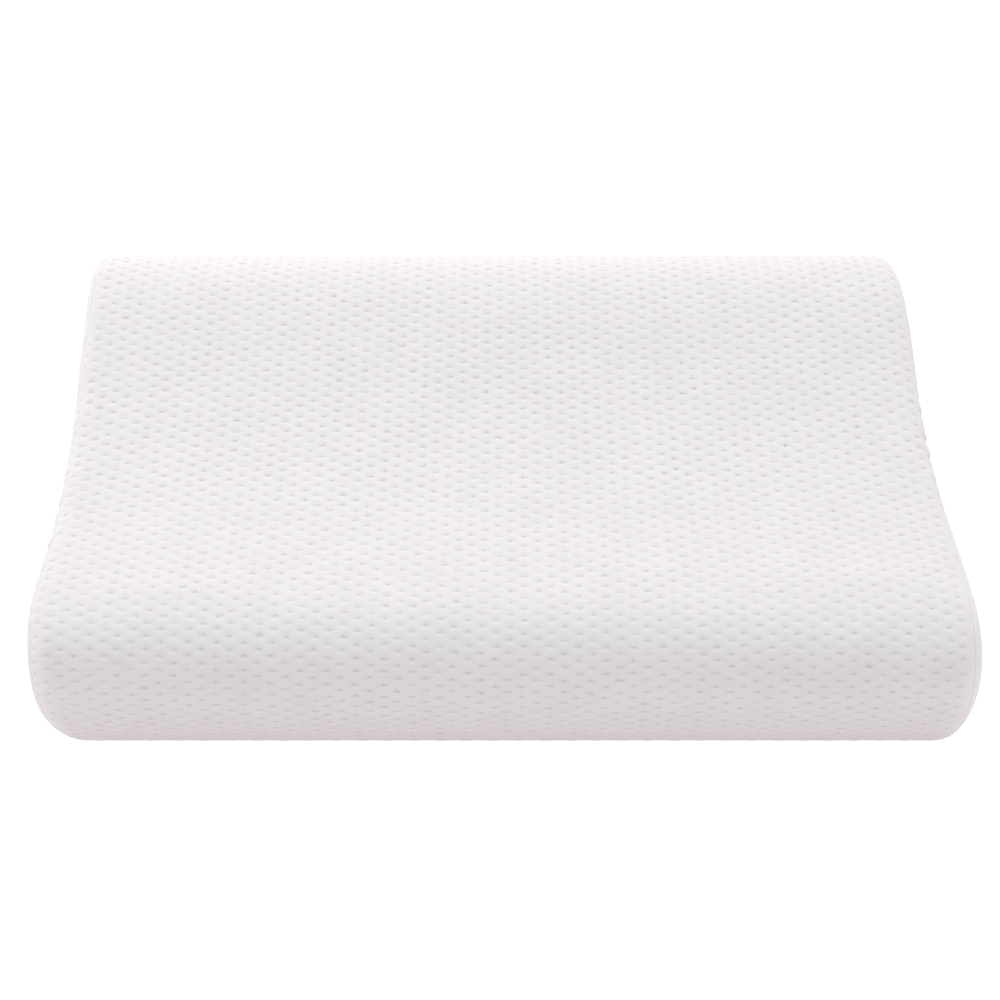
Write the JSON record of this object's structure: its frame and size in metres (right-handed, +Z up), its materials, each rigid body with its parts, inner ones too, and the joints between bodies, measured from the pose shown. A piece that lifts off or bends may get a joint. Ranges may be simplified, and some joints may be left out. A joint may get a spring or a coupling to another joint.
{
  "type": "contour memory foam pillow",
  "caption": "Contour foam pillow in a sewn knit cover: a high front lobe, a shallow head dip, a lower back lobe and crowned end panels.",
  "frame": {"origin": "on the surface the pillow lies on, under the middle of the pillow", "axes": "+X along the pillow's width, +Y from the high lobe at the front to the low lobe at the back, +Z up"},
  "size_m": [0.4993, 0.3158, 0.094],
  "materials": {
    "quilted_knit": "matt white double knit, quilted with small sewn-down dimples",
    "plain_knit": "matt white smooth knit"
  },
  "bodies": {
    "root": {"pillow_body": "quilted_knit", "end_panel_left": "plain_knit", "end_panel_right": "plain_knit"}
  },
  "joints": []
}
